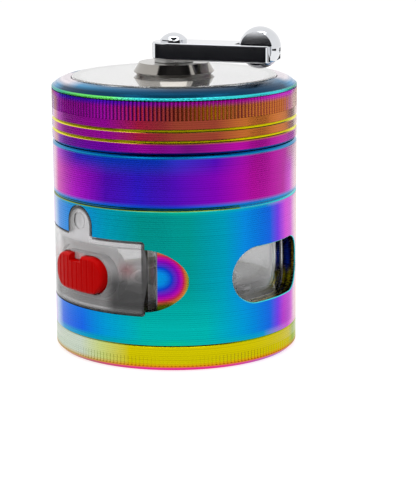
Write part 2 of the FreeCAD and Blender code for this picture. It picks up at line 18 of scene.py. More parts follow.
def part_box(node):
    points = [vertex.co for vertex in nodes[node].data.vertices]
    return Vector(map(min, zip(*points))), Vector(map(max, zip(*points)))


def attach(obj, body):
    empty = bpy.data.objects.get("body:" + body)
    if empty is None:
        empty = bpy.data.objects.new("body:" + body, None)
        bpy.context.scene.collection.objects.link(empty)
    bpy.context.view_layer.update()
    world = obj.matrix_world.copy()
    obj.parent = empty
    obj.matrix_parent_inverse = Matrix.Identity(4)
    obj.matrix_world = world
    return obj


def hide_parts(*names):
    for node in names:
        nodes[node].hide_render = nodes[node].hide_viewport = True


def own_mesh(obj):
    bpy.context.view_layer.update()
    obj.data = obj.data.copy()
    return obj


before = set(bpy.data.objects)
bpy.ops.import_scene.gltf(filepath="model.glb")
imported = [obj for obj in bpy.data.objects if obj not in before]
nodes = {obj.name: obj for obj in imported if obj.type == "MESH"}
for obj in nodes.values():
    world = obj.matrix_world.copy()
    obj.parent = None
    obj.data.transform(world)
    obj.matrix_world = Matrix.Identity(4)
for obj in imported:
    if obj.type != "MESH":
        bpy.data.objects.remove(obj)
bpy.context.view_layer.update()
scene = bpy.context.scene
MM = 0.001
print("nodes in the frame:", len(nodes))

# %% [markdown]
# ## Camera
# The picture was taken from a little above, with a long lens, so the rims are flat ellipses. A short
# lens close by would open the ellipses up. The lens, the tilt and the small sideways shift follow
# from the widths of the rims at the top and the bottom of the body.

# %% Camera
LENS_MM, SENSOR_MM = 136.0, 36
SIDE_SHIFT = 0.068
NEAREST_SEEN = 0.01
CAMERA_PLACE = (0.3550, -0.2979, 0.1268)
CAMERA_AZIMUTH, CAMERA_TILT, CAMERA_ROLL = 50.0, 77.8, -0.5

camera_data = bpy.data.cameras.new("product_camera")
camera_data.lens = LENS_MM
camera_data.sensor_width = SENSOR_MM
camera_data.shift_x = SIDE_SHIFT
camera_data.clip_start = NEAREST_SEEN
camera = bpy.data.objects.new("product_camera", camera_data)
scene.collection.objects.link(camera)
around = Matrix.Rotation(math.radians(CAMERA_AZIMUTH), 4, "Z")
tilt = Matrix.Rotation(math.radians(CAMERA_TILT), 4, "X")
roll = Matrix.Rotation(math.radians(CAMERA_ROLL), 4, "Z")
camera.matrix_world = Matrix.Translation(CAMERA_PLACE) @ around @ tilt @ roll
scene.camera = camera
scene.view_settings.view_transform = "Standard"
print("camera distance", round(camera.location.length, 3), "m")

# %% [markdown]
# ## Studio
# The object stands on white paper in a white room. A very bright lamp could make both white, but
# would bleach the object too. So the world and the floor are white only to the camera, to mirrors and
# through clear plastic, and light the object at a lower, plain level.


# %% Which rays see the white
def feed(tree, value, socket):
    """A link where value is a socket, a fixed setting where it is a number or a colour."""
    if isinstance(value, (int, float, tuple)):
        socket.default_value = value
    else:
        tree.links.new(value, socket)


def calc(tree, operation, first, second=0.0, third=0.0):
    """One math node."""
    node = tree.nodes.new("ShaderNodeMath")
    node.operation = operation
    for value, socket in zip((first, second, third), node.inputs):
        feed(tree, value, socket)
    return node.outputs[0]


def seen_directly(tree):
    """1 for rays from the camera, a mirror or clear plastic, 0 for the rays that light things."""
    path = tree.nodes.new("ShaderNodeLightPath").outputs
    eye_or_mirror = calc(tree, "MAXIMUM", path["Is Camera Ray"], path["Is Glossy Ray"])
    return calc(tree, "MAXIMUM", eye_or_mirror, path["Is Transmission Ray"])


print("ray test ready")

# %% World
WORLD_LIGHT, WORLD_SEEN = 0.6, 1.0

world = bpy.data.worlds.new("white_studio")
scene.world = world
world.use_nodes = True
tree = world.node_tree
backdrop = tree.nodes["Background"]
backdrop.inputs["Color"].default_value = (1, 1, 1, 1)
level = tree.nodes.new("ShaderNodeMapRange")
level.inputs["To Min"].default_value = WORLD_LIGHT
level.inputs["To Max"].default_value = WORLD_SEEN
tree.links.new(seen_directly(tree), level.inputs["Value"])
tree.links.new(level.outputs["Result"], backdrop.inputs["Strength"])
print("world lights at", WORLD_LIGHT)

# %% White paper
PAPER_GREY = (0.4, 0.4, 0.4, 1)
PAPER_GLOW = 0.78


def matt_surface(name, colour):
    """A matt material; returns it with its tree and its shader."""
    material = bpy.data.materials.new(name)
    material.use_nodes = True
    tree = material.node_tree
    tree.nodes.remove(tree.nodes["Principled BSDF"])
    matt = tree.nodes.new("ShaderNodeBsdfDiffuse")
    matt.inputs["Color"].default_value = colour
    tree.links.new(matt.outputs[0], tree.nodes["Material Output"].inputs["Surface"])
    return material, tree, matt


paper, tree, matt = matt_surface("white_paper", PAPER_GREY)
glow = tree.nodes.new("ShaderNodeEmission")
tree.links.new(calc(tree, "MULTIPLY", seen_directly(tree), PAPER_GLOW), glow.inputs["Strength"])
both = tree.nodes.new("ShaderNodeAddShader")
tree.links.new(matt.outputs[0], both.inputs[0])
tree.links.new(glow.outputs[0], both.inputs[1])
tree.links.new(both.outputs[0], tree.nodes["Material Output"].inputs["Surface"])
print("paper glows at", PAPER_GLOW)

# %% Floor
FLOOR_RADIUS, FLOOR_LEVEL, FLOOR_SIDES = 3.0, -0.0002, 96


def object_from(bm, name, material):
    """An object at the origin with the mesh that was built."""
    mesh = bpy.data.meshes.new(name)
    bm.to_mesh(mesh)
    bm.free()
    mesh.materials.append(material)
    made = bpy.data.objects.new(name, mesh)
    scene.collection.objects.link(made)
    return made


bm = bmesh.new()
bmesh.ops.create_circle(bm, cap_ends=True, segments=FLOOR_SIDES, radius=FLOOR_RADIUS)
bmesh.ops.translate(bm, verts=bm.verts, vec=(0, 0, FLOOR_LEVEL))
bmesh.ops.recalc_face_normals(bm, faces=bm.faces)
floor = object_from(bm, "white_floor", paper)
print("floor", 2 * FLOOR_RADIUS, "m across")

# %% [markdown]
# ## Black cards
# Polished metal has no look of its own, it shows what stands around it, so the studio needs something
# dark as well. A darker room could do that, but it would dull the plating. Strips of black card that
# only mirrors can see give the chrome and the nickel their dark faces and leave the light alone. Each
# is a short edge that is spun part of the way round the object.

# %% Black cards
NEAR_FLOOR, FORK_FLOOR, FAR_FLOOR = (0.335, 0.0004), (0.352, 0.0004), (0.80, 0.0004)
CARD_STEPS = 24
UNSEEN_BY = ("visible_camera", "visible_diffuse", "visible_transmission", "visible_shadow")
FLOCK_BLACK = (0.01, 0.01, 0.012, 1)
flock, _, _ = matt_surface("black_flock", FLOCK_BLACK)


def black_card(name, inner, outer, start, end):
    """A bent strip between two edges, (radius, height) each, and two angles from the drawer."""
    bm = bmesh.new()
    turned = Matrix.Rotation(math.radians(start - 90), 3, "Z")
    ends = [bm.verts.new(turned @ Vector((reach, 0, height))) for reach, height in (inner, outer)]
    edge = bm.edges.new(ends)
    bmesh.ops.spin(bm, geom=[edge, *ends], cent=(0, 0, 0), axis=(0, 0, 1),
                   angle=math.radians(end - start), steps=CARD_STEPS)
    card = object_from(bm, name, flock)
    for sight in UNSEEN_BY:
        setattr(card, sight, False)


black_card("front_floor_card", NEAR_FLOOR, FAR_FLOOR, -75, 45)
black_card("back_floor_card", NEAR_FLOOR, FAR_FLOOR, 215, 250)
black_card("right_floor_card", NEAR_FLOOR, FAR_FLOOR, 120, 145)
black_card("camera_wall", (1.0, 0.12), (1.0, 0.62), 0, 105)
black_card("ceiling_card", (0.0, 0.60), (0.16, 0.60), -60, 160)
black_card("front_sky_card", (0.50, 0.42), (0.33, 0.65), -12, 112)
black_card("fork_floor_card", FORK_FLOOR, FAR_FLOOR, 176, 199)
print("black cards for the mirrors set up")

# %% [markdown]
# ## Lamps
# One broad softbox hangs above and a smaller one stands to the left of the camera. Small bright lamps
# would put hot points on the chrome, so both are large and weak. The one at the side is kept out of
# mirror reflections, because its haze would wash out the colours of the plating.

# %% Lamps
LAMP_AIM = Vector((0, 0, 0.04))


def softbox(name, place, size, watts):
    """A square lamp that faces the middle of the body."""
    data = bpy.data.lights.new(name, "AREA")
    data.size = size
    data.energy = watts
    lamp = bpy.data.objects.new(name, data)
    lamp.location = place
    lamp.rotation_euler = (LAMP_AIM - Vector(place)).to_track_quat("-Z", "Y").to_euler()
    scene.collection.objects.link(lamp)
    return lamp


softbox("softbox_above", (0.1, -0.1, 0.8), 0.7, 2.6)
side_lamp = softbox("softbox_side", (-0.35, -0.7, 0.45), 0.5, 1.0)
side_lamp.visible_glossy = False
print("two softboxes")

# %% [markdown]
# ## Node groups
# The plating shades from colour to colour round the body and changes again at every rim. It could be
# painted on the picture's flat view, but then it would slide when the crank or the camera turns. Here
# a group measures where a point lies on its own ring: how far round, how high and how far out, in
# millimetres. Every plated finish reads that. Further groups make a soft band between two values,
# lathe lines, screw turns and a fine grain.


# %% How a group is made
def new_group(name, inputs, outputs):
    """A shader group with float sockets; returns the group and its two end nodes."""
    group = bpy.data.node_groups.new(name, "ShaderNodeTree")
    for label, value in inputs:
        socket = group.interface.new_socket(label, in_out="INPUT", socket_type="NodeSocketFloat")
        socket.default_value = value
    for label in outputs:
        group.interface.new_socket(label, in_out="OUTPUT", socket_type="NodeSocketFloat")
    return group, group.nodes.new("NodeGroupInput"), group.nodes.new("NodeGroupOutput")


print("group tool ready")

# %% Where a point lies on its ring
COLOUR_DRIFT, DRIFT_SCALE = 0.03, 45.0
SCOOP_ACROSS, SCOOP_HALF_WIDTH = 18.2, 8.2
SCOOP_HEIGHT, SCOOP_HALF_HEIGHT = 22.75, 7.9

ring_place, inlet, outlet = new_group(
    "ring_place", [("Facing", CAMERA_AZIMUTH), ("Drift", COLOUR_DRIFT)],
    ["Turn", "Angle", "Height", "Radius", "Across", "Front", "Dish"])
on_ring = partial(calc, ring_place)
texture_place = ring_place.nodes.new("ShaderNodeTexCoord")
split = ring_place.nodes.new("ShaderNodeSeparateXYZ")
ring_place.links.new(texture_place.outputs["Object"], split.inputs[0])
x, y, z = split.outputs

# The angle from the drawer, doubled and folded, runs from 0 to 1 twice round the ring
angle = on_ring("ARCTAN2", x, on_ring("MULTIPLY", y, -1.0))
facing = on_ring("RADIANS", inlet.outputs["Facing"])
doubled = on_ring("MULTIPLY", on_ring("SUBTRACT", angle, facing), 2.0)
folded = on_ring("ARCTAN2", on_ring("SINE", doubled), on_ring("COSINE", doubled))
turn = on_ring("MULTIPLY_ADD", folded, 0.5 / math.pi, 0.5)
cloud = ring_place.nodes.new("ShaderNodeTexNoise")
cloud.inputs["Scale"].default_value = DRIFT_SCALE
ring_place.links.new(texture_place.outputs["Object"], cloud.inputs["Vector"])
drift = on_ring("MULTIPLY", on_ring("SUBTRACT", cloud.outputs["Fac"], 0.5), inlet.outputs["Drift"])

# Dish is 0 in the middle of the finger scoop beside the drawer and 1 at its oval rim
radius = on_ring("SQRT", on_ring("MULTIPLY_ADD", x, x, on_ring("MULTIPLY", y, y)))
across = on_ring("MULTIPLY", on_ring("ABSOLUTE", x), 1 / MM)
aside = on_ring("MULTIPLY_ADD", across, 1 / SCOOP_HALF_WIDTH, -SCOOP_ACROSS / SCOOP_HALF_WIDTH)
above = on_ring("MULTIPLY_ADD", z, 1 / (SCOOP_HALF_HEIGHT * MM), -SCOOP_HEIGHT / SCOOP_HALF_HEIGHT)
dish = on_ring("SQRT", on_ring("MULTIPLY_ADD", aside, aside, on_ring("MULTIPLY", above, above)))

measures = {"Turn": on_ring("ADD", turn, drift), "Angle": angle, "Height": on_ring("MULTIPLY", z, 1 / MM),
            "Radius": on_ring("MULTIPLY", radius, 1 / MM), "Across": across,
            "Front": on_ring("MULTIPLY", y, -1 / MM), "Dish": dish}
for label, value in measures.items():
    ring_place.links.new(value, outlet.inputs[label])
print("group", ring_place.name, "measures", ", ".join(measures))

# %% A band between two values
band, inlet, outlet = new_group(
    "band", [("Value", 0.0), ("Low", 0.0), ("High", 1.0), ("Soft", 0.1)], ["Mask"])
in_band = partial(calc, band)
value, lowest, highest, soft = (inlet.outputs[label] for label in ("Value", "Low", "High", "Soft"))
rise = in_band("DIVIDE", in_band("SUBTRACT", value, lowest), soft)
fall = in_band("DIVIDE", in_band("SUBTRACT", highest, value), soft)
both_sides = in_band("MINIMUM", in_band("ADD", rise, 0.5), in_band("ADD", fall, 0.5))
slope = band.nodes.new("ShaderNodeMapRange")
slope.interpolation_type = "SMOOTHSTEP"
band.links.new(both_sides, slope.inputs["Value"])
band.links.new(slope.outputs["Result"], outlet.inputs["Mask"])
print("group", band.name)

# %% Fine lines from the lathe tool
SWELL_ROUND, SWELL_DETAIL = 0.6, 3.0

lathe_lines, inlet, outlet = new_group(
    "lathe_lines", [("Height", 0.0), ("Angle", 0.0), ("Pitch", 0.5)], ["Lines"])
on_lathe = partial(calc, lathe_lines)
along = on_lathe("DIVIDE", inlet.outputs["Height"], inlet.outputs["Pitch"])
swell = lathe_lines.nodes.new("ShaderNodeTexNoise")
swell.noise_dimensions = "2D"
swell.inputs["Scale"].default_value = 1.0
swell.inputs["Detail"].default_value = SWELL_DETAIL
stretch = lathe_lines.nodes.new("ShaderNodeCombineXYZ")
lathe_lines.links.new(along, stretch.inputs[0])
lathe_lines.links.new(on_lathe("MULTIPLY", inlet.outputs["Angle"], SWELL_ROUND), stretch.inputs[1])
lathe_lines.links.new(stretch.outputs[0], swell.inputs["Vector"])
wave = on_lathe("SINE", on_lathe("MULTIPLY", along, math.tau))
lines = on_lathe("MULTIPLY", on_lathe("MULTIPLY_ADD", wave, 0.5, 0.5), swell.outputs["Fac"])
lathe_lines.links.new(lines, outlet.inputs["Lines"])
print("group", lathe_lines.name)

# %% Screw thread on the joining collars
THREAD_PITCH = 1.25

thread_turns, inlet, outlet = new_group(
    "thread_turns", [("Height", 0.0), ("Angle", 0.0), ("Pitch", THREAD_PITCH)], ["Crest"])
on_thread = partial(calc, thread_turns)
upward = on_thread("DIVIDE", inlet.outputs["Height"], inlet.outputs["Pitch"])
climb = on_thread("SUBTRACT", upward, on_thread("DIVIDE", inlet.outputs["Angle"], math.tau))
crest = on_thread("PINGPONG", climb, 0.5)
thread_turns.links.new(on_thread("MULTIPLY", crest, 2.0), outlet.inputs["Crest"])
print("group", thread_turns.name)

# %% Fine grain of castings and mouldings
surface_grain, inlet, outlet = new_group("surface_grain", [("Scale", 100.0), ("Detail", 2.0)], ["Grain"])
texture_place = surface_grain.nodes.new("ShaderNodeTexCoord")
cloud = surface_grain.nodes.new("ShaderNodeTexNoise")
surface_grain.links.new(texture_place.outputs["Object"], cloud.inputs["Vector"])
for label in ("Scale", "Detail"):
    surface_grain.links.new(inlet.outputs[label], cloud.inputs[label])
surface_grain.links.new(cloud.outputs["Fac"], outlet.inputs["Grain"])
print("group", surface_grain.name)

# %% [markdown]
# ## Plated metal
# The rainbow film on the rings is a few hundred nanometres of oxide, and its colour follows its
# thickness: thin at the edges, where it turns yellow, thicker on the faces. A thin-film shader could
# give it, but not the same bands as these rings have. So each ring has a row of named colours round
# its side, with extra bands by height for its rims and grooves and by depth for what is cut into it.
# All of it is metallic. Where a ring turns away to its sides, its rows fade to pale tints and gold,
# which are a painted reflection of the white room, and the near black in grooves, cuts and thread
# valleys is painted shade.


# %% Colours of the film
def linear(red, green, blue):
    """A screen colour, 0 to 255 each, as light values with alpha."""
    parts = [c / 255 for c in (red, green, blue)]
    return tuple(c / 12.92 if c <= 0.04045 else ((c + 0.055) / 1.055) ** 2.4 for c in parts) + (1.0,)


WHITE_PINK = linear(252, 242, 248)
PALE_PINK = linear(240, 194, 216)
BLUSH = linear(246, 204, 200)
PEACH = linear(252, 222, 204)
LILAC = linear(222, 190, 238)
PALE_BLUE = linear(176, 200, 230)
PINK = linear(208, 56, 210)
VIOLET = linear(104, 46, 222)
ROYAL = linear(2, 96, 220)
AZURE = linear(8, 134, 218)
SKY = linear(2, 150, 206)
SEA = linear(2, 152, 180)
TEAL = linear(3, 148, 142)
LAGOON = linear(2, 176, 170)
MINT = linear(10, 186, 150)
LEAF = linear(150, 180, 60)
STRAW = linear(196, 206, 120)
LIME = linear(110, 236, 110)
GOLDEN = linear(240, 204, 96)
LEMON = linear(252, 244, 24)
YELLOW = linear(203, 190, 3)
AMBER = linear(202, 150, 8)
GOLD = linear(200, 114, 50)
TANGERINE = linear(226, 108, 20)
RUST = linear(152, 66, 48)
WINE = linear(190, 36, 74)
CERISE = linear(232, 10, 150)
ROSE = linear(212, 150, 150)
PLUM = linear(170, 14, 170)
GRAPE = linear(124, 8, 178)
MAGENTA = linear(180, 16, 158)
FUCHSIA = linear(205, 40, 172)
ORCHID = linear(176, 2, 196)
PURPLE = linear(80, 15, 182)
INDIGO = linear(52, 28, 204)
COBALT = linear(16, 56, 196)
NAVY = linear(8, 62, 96)
DEEP_TEAL = linear(4, 112, 160)
MIDNIGHT = linear(4, 62, 92)
CYAN = linear(60, 220, 226)
HIGHLIGHT_GREEN = linear(196, 208, 190)
DARK_PLUM = linear(110, 18, 120)
BROWN = linear(140, 60, 52)
# Near black for painted shade in grooves, cuts, recess walls and thread valleys
SHADE_BLACK = linear(14, 16, 22)
SLATE = linear(104, 106, 118)
BRIGHT = linear(232, 232, 234)
print("film colours named")


# %% Rows and layers of colour
def ramp(tree, value, stops):
    """A row of colours along a value."""
    node = tree.nodes.new("ShaderNodeValToRGB")
    row = node.color_ramp.elements
    while len(row) < len(stops):
        row.new(0.5)
    for slot, (place, colour) in zip(row, stops):
        slot.position = place
        slot.color = colour
    tree.links.new(value, node.inputs[0])
    return node.outputs["Color"]


def blend_colour(tree, mask, first, second, mode="MIX"):
    """Second laid over first where the mask is 1."""
    node = tree.nodes.new("ShaderNodeMix")
    node.data_type = "RGBA"
    node.blend_type = mode
    for value, socket in ((mask, node.inputs[0]), (first, node.inputs[6]), (second, node.inputs[7])):
        feed(tree, value, socket)
    return node.outputs[2]


print("colour tools ready")


# %% Masks
def place_group(tree, group, **settings):
    """A group set into a material, with values for its inputs."""
    node = tree.nodes.new("ShaderNodeGroup")
    node.node_tree = group
    for label, value in settings.items():
        feed(tree, value, node.inputs[label])
    return node.outputs


def within(tree, where, limits):
    """1 where every measure lies between its low and high value."""
    mask = None
    for measure, low, high, soft in limits:
        part = place_group(tree, band, Value=where[measure], Low=low, High=high, Soft=soft)["Mask"]
        mask = part if mask is None else calc(tree, "MULTIPLY", mask, part)
    return mask


print("mask tools ready")


# %% Finishes and relief
def new_finish(name, **settings):
    """A material with its constants set straight on the shader, named with _ for spaces."""
    material = bpy.data.materials.new(name)
    material.use_nodes = True
    shader = material.node_tree.nodes["Principled BSDF"]
    for label, value in settings.items():
        shader.inputs[label.replace("_", " ")].default_value = value
    return material, material.node_tree, shader


def bump(tree, height, strength, depth=1.0):
    """A normal that follows a height; depth is the millimetres that 1 stands for."""
    node = tree.nodes.new("ShaderNodeBump")
    node.inputs["Strength"].default_value = strength
    node.inputs["Distance"].default_value = depth * MM
    tree.links.new(height, node.inputs["Height"])
    return node.outputs["Normal"]


def wear(finish, *names):
    """Gives the named nodes one finish."""
    for name in names:
        slots = nodes[name].data.materials
        slots.clear()
        slots.append(finish)


print("finish tools ready")


# %% Film on a ring
def film_colour(tree, where, side, bands):
    """Side colours round a ring, then bands of (limits, measure that the colours follow, colours)."""
    colour = ramp(tree, where["Turn"], side)
    for limits, follows, stops in bands:
        if follows == "Turn":
            over = ramp(tree, where["Turn"], stops)
        else:
            first, last = stops[0][0], stops[-1][0]
            along = calc(tree, "DIVIDE", calc(tree, "SUBTRACT", where[follows], first), last - first)
            over = ramp(tree, along, [((place - first) / (last - first), tone) for place, tone in stops])
        colour = blend_colour(tree, within(tree, where, limits), colour, over)
    return colour


print("film tool ready")

# %% Plated metal
EDGE_TINT = (0.9, 0.9, 0.9, 1)
LATHE_PITCH, LATHE_RELIEF = 0.52, 0.02
LATHE_SHADE, LATHE_TONE = 0.45, (0.35, 0.35, 0.4, 1)
THREAD_RELIEF, RELIEF_STRENGTH = 0.6, 0.5
SMOOTHEST, ROUGHER_LINES = 0.24, 0.12


def plated(name, side, bands, thread=None):
    """A plated ring with lathe lines, and a screw thread with painted shade in its valleys within the
    limits of thread.
    """
    material, tree, shader = new_finish(name, Metallic=1.0, Specular_Tint=EDGE_TINT)
    where = place_group(tree, ring_place)
    height, angle = where["Height"], where["Angle"]
    colour = film_colour(tree, where, side, bands)
    lines = place_group(tree, lathe_lines, Height=height, Angle=angle, Pitch=LATHE_PITCH)["Lines"]
    shade = calc(tree, "MULTIPLY", lines, LATHE_SHADE)
    colour = blend_colour(tree, shade, colour, LATHE_TONE, "MULTIPLY")
    relief = calc(tree, "MULTIPLY", lines, LATHE_RELIEF)
    if thread:
        crest = place_group(tree, thread_turns, Height=height, Angle=angle)["Crest"]
        collar = within(tree, where, thread)
        relief = calc(tree, "MULTIPLY_ADD", calc(tree, "MULTIPLY", crest, collar), THREAD_RELIEF, relief)
        # Painted shade: the colour goes near black in the valleys of the thread
        valley_shade = calc(tree, "MULTIPLY", calc(tree, "SUBTRACT", 1.0, crest), collar)
        colour = blend_colour(tree, valley_shade, colour, SHADE_BLACK)
    tree.links.new(colour, shader.inputs["Base Color"])
    gloss = calc(tree, "MULTIPLY_ADD", lines, ROUGHER_LINES, SMOOTHEST)
    tree.links.new(gloss, shader.inputs["Roughness"])
    tree.links.new(bump(tree, relief, RELIEF_STRENGTH), shader.inputs["Normal"])
    return material


print("plating tool ready")

# %% [markdown]
# ## Drawer body
# The tallest ring is sea green in front and goes through blue and violet towards its sides. One
# gradient could do for that, but the film also changes at the cut edges of the windows, in the finger
# scoops and in the recess round the drawer, where bands also carry painted shade, painted glints on the
# window sills and a painted highlight line. So bands by depth lie over the side colours. A row runs
# twice round the ring, and that makes the back look like the front.


# %% Colours of the drawer body
def painted_reflection_ends(row):
    """A row that fades through lilac and blush to gold where the ring turns away to its sides, a painted
    reflection of the white room.
    """
    return [(0.0, GOLDEN), (0.04, LILAC), *row, (0.96, BLUSH), (1.0, GOLDEN)]


collector_side = painted_reflection_ends([
    (0.08, PALE_BLUE), (0.115, AZURE), (0.22, AZURE), (0.32, SEA), (0.41, TEAL), (0.53, TEAL),
    (0.62, SEA), (0.68, AZURE), (0.765, ROYAL), (0.8, VIOLET), (0.845, PINK), (0.88, PINK),
    (0.92, PALE_PINK)])
lower_side = painted_reflection_ends([
    (0.085, PALE_BLUE), (0.125, ROYAL), (0.23, ROYAL), (0.32, SKY), (0.42, LAGOON), (0.58, LAGOON),
    (0.68, SKY), (0.775, ROYAL), (0.805, VIOLET), (0.835, ORCHID), (0.865, ORCHID), (0.89, PINK),
    (0.92, PALE_PINK)])
seam_side = painted_reflection_ends([
    (0.08, PALE_BLUE), (0.13, SKY), (0.3, SEA), (0.5, MINT), (0.75, SKY), (0.865, PINK)])
# The pale blue at both ends of rim_line and neck_side is a painted reflection where the ring turns away
rim_line = [(0.0, PALE_BLUE), (0.1, SEA), (0.25, LEAF), (0.75, LEAF), (0.9, SEA), (1.0, PALE_BLUE)]
neck_side = [(0.0, PALE_BLUE), (0.1, SKY), (0.3, AZURE), (0.5, SEA), (0.7, AZURE), (0.85, VIOLET),
             (1.0, PALE_BLUE)]
# In window_edge the near black bands in the cut walls of the windows are painted shade
window_edge = [(24.0, BRIGHT), (28.0, BRIGHT), (28.2, SHADE_BLACK), (29.3, COBALT), (30.2, SHADE_BLACK), (30.8, AMBER),
               (31.15, CYAN), (31.4, CYAN)]
# Painted yellow glints and painted shade on the sills of the windows
sill_glints_and_shade = [(28.3, YELLOW), (29.2, SHADE_BLACK), (30.0, YELLOW), (30.8, SHADE_BLACK)]
finger_scoop = [(0.0, SKY), (0.22, AZURE), (0.38, COBALT), (0.56, GRAPE), (0.67, MAGENTA), (0.75, WINE),
                (0.84, GOLD), (0.93, LEAF), (1.0, LEAF)]
# In flange_recess the bright band is a painted highlight line, and the near black on the recess walls is
# painted shade
flange_recess = [(26.0, SLATE), (29.95, SLATE), (30.05, BRIGHT), (30.35, BRIGHT), (30.5, SHADE_BLACK),
                 (31.2, SHADE_BLACK), (31.36, LEAF)]
print("rows for the drawer body listed")

# %% Drawer body
BELOW_SKIN = ("Radius", 0.0, 31.42, 0.06)
ON_COLLAR = ("Radius", 26.0, 31.0, 0.1)
drawer_half = ("Front", 5.0, 40.0, 1.0)
below_rim = ("Height", 5.0, 40.5, 0.1)
collector_plate = plated("collector_plate", collector_side, [
    ([("Height", -9.0, 16.0, 16.0)], "Turn", lower_side),
    ([("Height", 39.6, 41.5, 1.0)], "Turn", seam_side),
    ([("Height", 40.15, 41.5, 0.1)], "Turn", rim_line),
    ([("Height", 5.0, 7.6, 1.6)], "Turn", seam_side),
    ([BELOW_SKIN], "Radius", window_edge),
    ([BELOW_SKIN, ("Radius", 28.3, 31.0, 0.4), ("Height", 15.0, 19.5, 3.0)], "Radius", sill_glints_and_shade),
    ([BELOW_SKIN, drawer_half, below_rim], "Dish", finger_scoop),
    ([BELOW_SKIN, drawer_half, ("Across", -1.0, 18.7, 0.1), below_rim], "Radius", flange_recess),
    ([("Height", 40.6, 60.0, 0.1), ("Radius", 28.0, 31.42, 0.1)], "Turn", neck_side),
], thread=[("Height", 40.8, 45.4, 0.2), ON_COLLAR])
wear(collector_plate, "collector_shell")
print("drawer body plated")

# %% [markdown]
# ## Chamber
# The ring with the teeth is indigo in front and magenta at its sides, and its two turned edges are
# blue. The edges could be pieces of their own, but they belong to the same turned ring, so they are
# bands by height.

# %% Chamber
chamber_side = painted_reflection_ends([
    (0.08, PALE_PINK), (0.115, FUCHSIA), (0.21, ORCHID), (0.32, PURPLE), (0.41, INDIGO), (0.50, PURPLE),
    (0.60, GRAPE), (0.71, MAGENTA), (0.83, MAGENTA), (0.87, PINK), (0.915, PALE_PINK)])
upper_chamber = painted_reflection_ends([
    (0.08, PALE_PINK), (0.115, ORCHID), (0.22, INDIGO), (0.32, COBALT), (0.46, COBALT), (0.60, PURPLE),
    (0.72, MAGENTA), (0.84, MAGENTA), (0.915, PALE_PINK)])
# The pale blue at both ends of edge_blues and edge_teals is a painted reflection where the edge turns
# away
edge_blues = [(0.0, PALE_BLUE), (0.09, SKY), (0.3, ROYAL), (0.5, COBALT), (0.75, AZURE), (0.9, SKY),
              (1.0, PALE_BLUE)]
edge_teals = [(0.0, PALE_BLUE), (0.09, SKY), (0.5, DEEP_TEAL), (0.9, SKY), (1.0, PALE_BLUE)]
edge_azures = [(0.0, SKY), (0.3, AZURE), (0.7, AZURE), (1.0, SKY)]
chamber_plate = plated("chamber_plate", chamber_side, [
    ([("Height", 50.4, 60.0, 5.0)], "Turn", upper_chamber),
    ([("Height", 53.2, 60.0, 0.6)], "Turn", edge_teals),
    ([("Height", 38.0, 41.7, 1.2)], "Turn", edge_blues),
    ([("Height", 38.0, 41.1, 0.2)], "Turn", edge_azures),
], thread=[("Height", 53.9, 57.4, 0.2), ON_COLLAR])
wear(chamber_plate, "grind_chamber")
print("chamber plated")

# %% [markdown]
# ## Lid
# The lid goes from plum through red to gold, with two turned grooves, a knurled grip and a polished
# dark blue crown. The grooves and the ribs are cut in the solid, and paint could fill them in flat
# colour. Here each groove gets a yellow side and a side of painted shade, which change places to the
# left of the middle, and a thin bright line with a painted shadow line under it parts the crown from
# the grip.

# %% Colours of the lid
# Where these rows fade to pale tints and gold at both ends, that is a painted reflection where the lid
# turns away
lid_side = [(0.0, GOLDEN), (0.06, LILAC), (0.09, ROSE), (0.12, PLUM), (0.32, PLUM), (0.41, WINE),
            (0.50, RUST), (0.60, RUST), (0.70, GOLD), (0.85, GOLD), (0.885, ROSE), (0.915, PEACH),
            (0.95, BLUSH), (1.0, GOLDEN)]
under_grooves = [(0.0, GOLDEN), (0.06, LILAC), (0.1, ROSE), (0.13, GRAPE), (0.33, GRAPE), (0.42, PLUM),
                 (0.53, DARK_PLUM), (0.66, MAGENTA), (0.84, MAGENTA), (0.9, PINK), (0.95, BLUSH),
                 (1.0, GOLDEN)]
groove_walls = [(0.0, LEMON), (1.0, LEMON)]
# The near black and brown parts of groove_foot and groove_brow are painted shade
groove_foot = [(0.0, LEMON), (0.37, LEMON), (0.43, SHADE_BLACK), (0.84, SHADE_BLACK), (0.9, LEMON), (1.0, LEMON)]
groove_brow = [(0.0, BROWN), (0.08, SHADE_BLACK), (0.34, SHADE_BLACK), (0.41, LEMON), (1.0, LEMON)]
rib_gaps = [(0.0, ROSE), (0.1, VIOLET), (0.15, DARK_PLUM), (0.40, DARK_PLUM), (0.5, BROWN), (0.6, AMBER),
            (0.67, BROWN), (0.83, RUST), (0.9, VIOLET), (1.0, ROSE)]
rib_tops = [(0.0, GOLDEN), (0.09, PINK), (0.14, INDIGO), (0.35, PURPLE), (0.5, PLUM), (0.7, MAGENTA),
            (0.88, PINK), (0.94, BLUSH), (1.0, GOLDEN)]
crown_shadow = [(0.0, GRAPE), (0.12, SHADE_BLACK), (0.6, SHADE_BLACK), (0.8, DARK_PLUM), (1.0, GRAPE)]
crown_line = [(0.0, SEA), (0.14, MINT), (0.22, LIME), (0.34, LIME), (0.42, CYAN), (0.8, CYAN),
              (0.9, MINT), (1.0, SEA)]
crown_side = [(0.0, PALE_BLUE), (0.08, SKY), (0.14, NAVY), (0.3, MIDNIGHT), (0.6, MIDNIGHT), (0.85, NAVY),
              (0.92, SKY), (1.0, PALE_BLUE)]
crown_top = [(0.0, WHITE_PINK), (0.12, WHITE_PINK), (0.2, SKY), (0.3, DEEP_TEAL), (0.5, NAVY),
             (0.8, MIDNIGHT), (0.88, DEEP_TEAL), (0.94, WHITE_PINK), (1.0, WHITE_PINK)]
print("rows for the lid listed")

